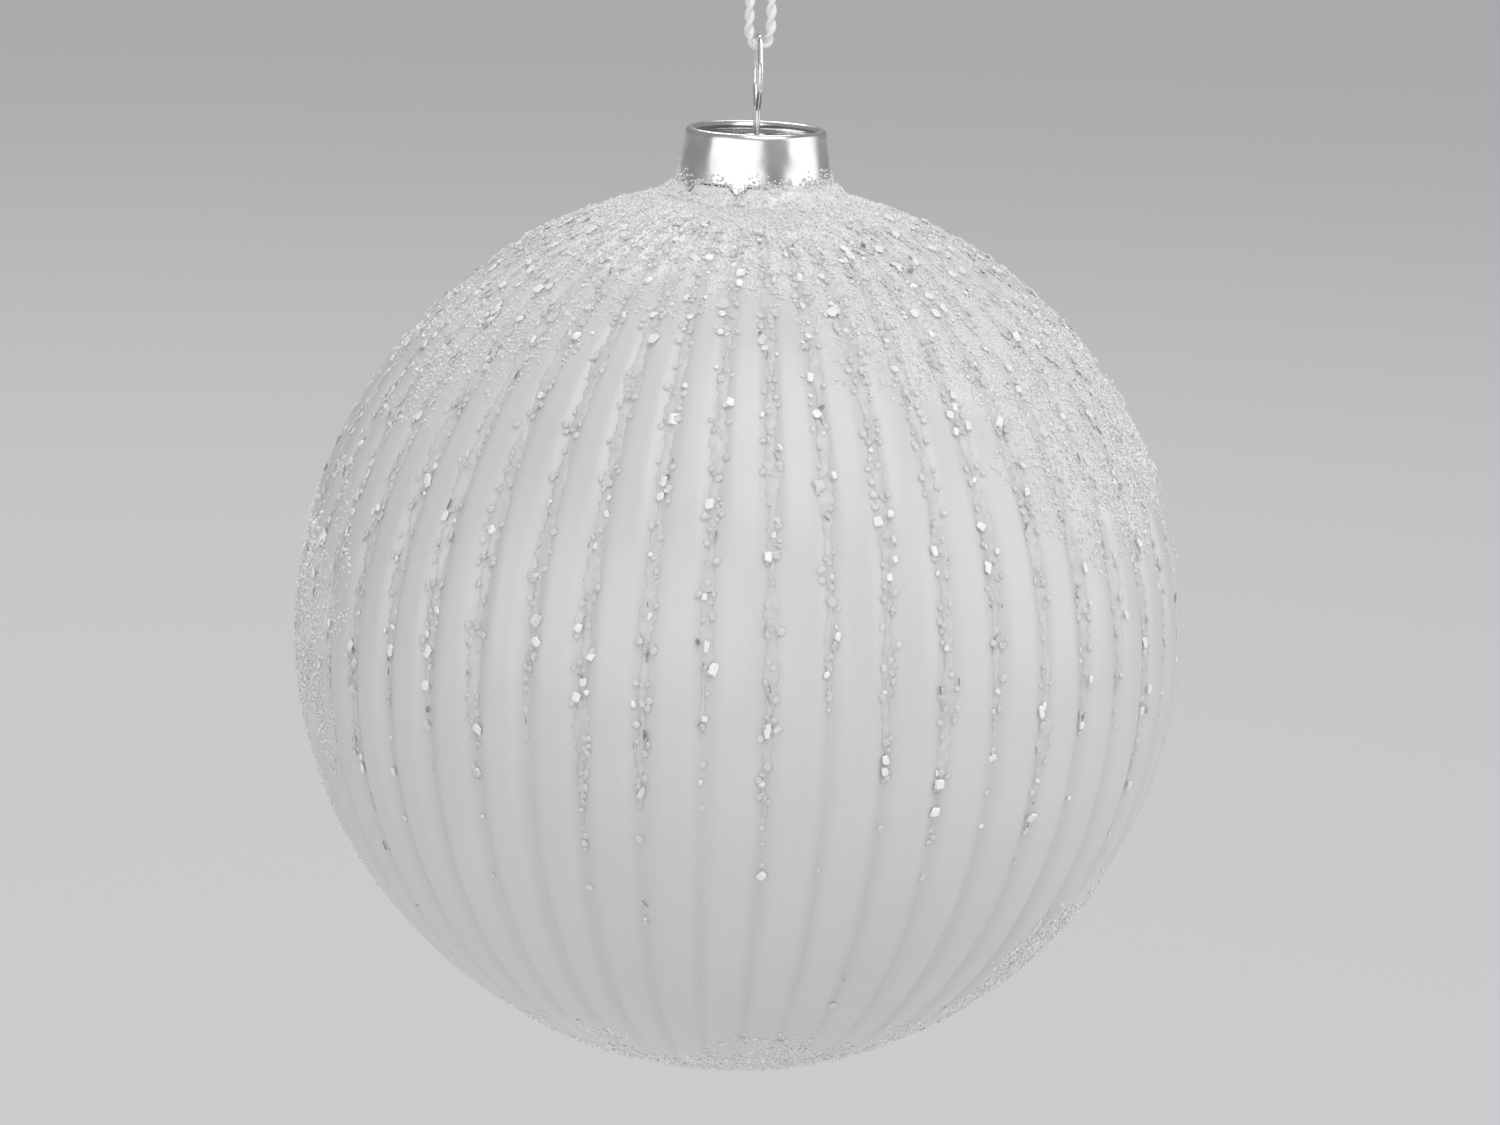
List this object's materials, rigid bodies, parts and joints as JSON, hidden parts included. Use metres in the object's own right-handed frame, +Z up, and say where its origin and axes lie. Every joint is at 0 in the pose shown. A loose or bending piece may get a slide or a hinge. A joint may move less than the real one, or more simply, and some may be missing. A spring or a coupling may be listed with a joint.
{
  "type": "hanging ball ornament",
  "caption": "Ribbed opal glass ball ornament with lines of ice chips in its grooves, frosted crown, metal cap, sprung wire hanger and cord loop.",
  "frame": {"origin": "the centre of the hook that the cord loop hangs on, just under the knot; the ball hangs below it", "axes": "+Z up along the ball's axis, +X to the right and -Y towards the front, so the hanger wire's loop is seen edge-on from the front"},
  "size_m": [0.1005, 0.1, 0.1768],
  "materials": {
    "opal_glass": "satin pearl, opaque white",
    "ice_chips": "clear resin with clear and white chips",
    "sugar_frost": "fine sparkling grains",
    "plated_cap": "bright plated sheet",
    "steel_wire": "drawn wire",
    "cord_yarn": "twisted white yarn with a faint silver sheen"
  },
  "bodies": {
    "cord": {"cord_strand_left": "cord_yarn", "cord_strand_right": "cord_yarn", "cord_knot": "cord_yarn", "cord_tails": "cord_yarn"},
    "bight": {"cord_bight": "cord_yarn"},
    "hanger": {"hanger_wire": "steel_wire"},
    "cap": {"cap_shell": "plated_cap"},
    "ball": {"glass_ball": "opal_glass", "crown_frost": "sugar_frost", "base_frost": "sugar_frost", "side_frost_right": "sugar_frost", "side_frost_left": "sugar_frost", "ice_line_01": "ice_chips", "ice_line_02": "ice_chips", "ice_line_03": "ice_chips", "ice_line_04": "ice_chips", "ice_line_05": "ice_chips", "ice_line_06": "ice_chips", "ice_line_07": "ice_chips", "ice_line_08": "ice_chips", "ice_line_09": "ice_chips", "ice_line_10": "ice_chips", "ice_line_11": "ice_chips", "ice_line_12": "ice_chips", "ice_line_13": "ice_chips", "ice_line_14": "ice_chips", "ice_line_15": "ice_chips", "ice_line_16": "ice_chips", "ice_line_17": "ice_chips", "ice_line_18": "ice_chips", "ice_line_19": "ice_chips", "ice_line_20": "ice_chips", "ice_line_21": "ice_chips", "ice_line_22": "ice_chips", "ice_line_23": "ice_chips", "ice_line_24": "ice_chips", "ice_line_25": "ice_chips", "ice_line_26": "ice_chips", "ice_line_27": "ice_chips", "ice_line_28": "ice_chips", "ice_line_29": "ice_chips", "ice_line_30": "ice_chips", "ice_line_31": "ice_chips", "ice_line_32": "ice_chips", "ice_line_33": "ice_chips", "ice_line_34": "ice_chips", "ice_line_35": "ice_chips", "ice_line_36": "ice_chips", "ice_line_37": "ice_chips", "ice_line_38": "ice_chips", "ice_line_39": "ice_chips", "ice_line_40": "ice_chips", "ice_line_41": "ice_chips", "ice_line_42": "ice_chips", "ice_line_43": "ice_chips", "ice_line_44": "ice_chips", "ice_line_45": "ice_chips", "ice_line_46": "ice_chips", "ice_line_47": "ice_chips", "ice_line_48": "ice_chips"}
  },
  "joints": [
    {"name": "cord_twist", "type": "hinge", "parent": "cord", "child": "bight", "pos_m": [0, 0, -0.04], "axis": [0, 0, 1], "range_deg": [-180, 180]},
    {"name": "ball_swing", "type": "hinge", "parent": "bight", "child": "hanger", "pos_m": [0, 0, -0.048], "axis": [1, 0, 0], "range_deg": [-60, 60]},
    {"name": "cap_lift", "type": "slide", "parent": "hanger", "child": "cap", "axis": [0, 0, 1], "range_m": [0, 0.0015]},
    {"name": "ball_release", "type": "slide", "parent": "hanger", "child": "ball", "axis": [0, 0, -1], "range_m": [0, 0.02]}
  ]
}
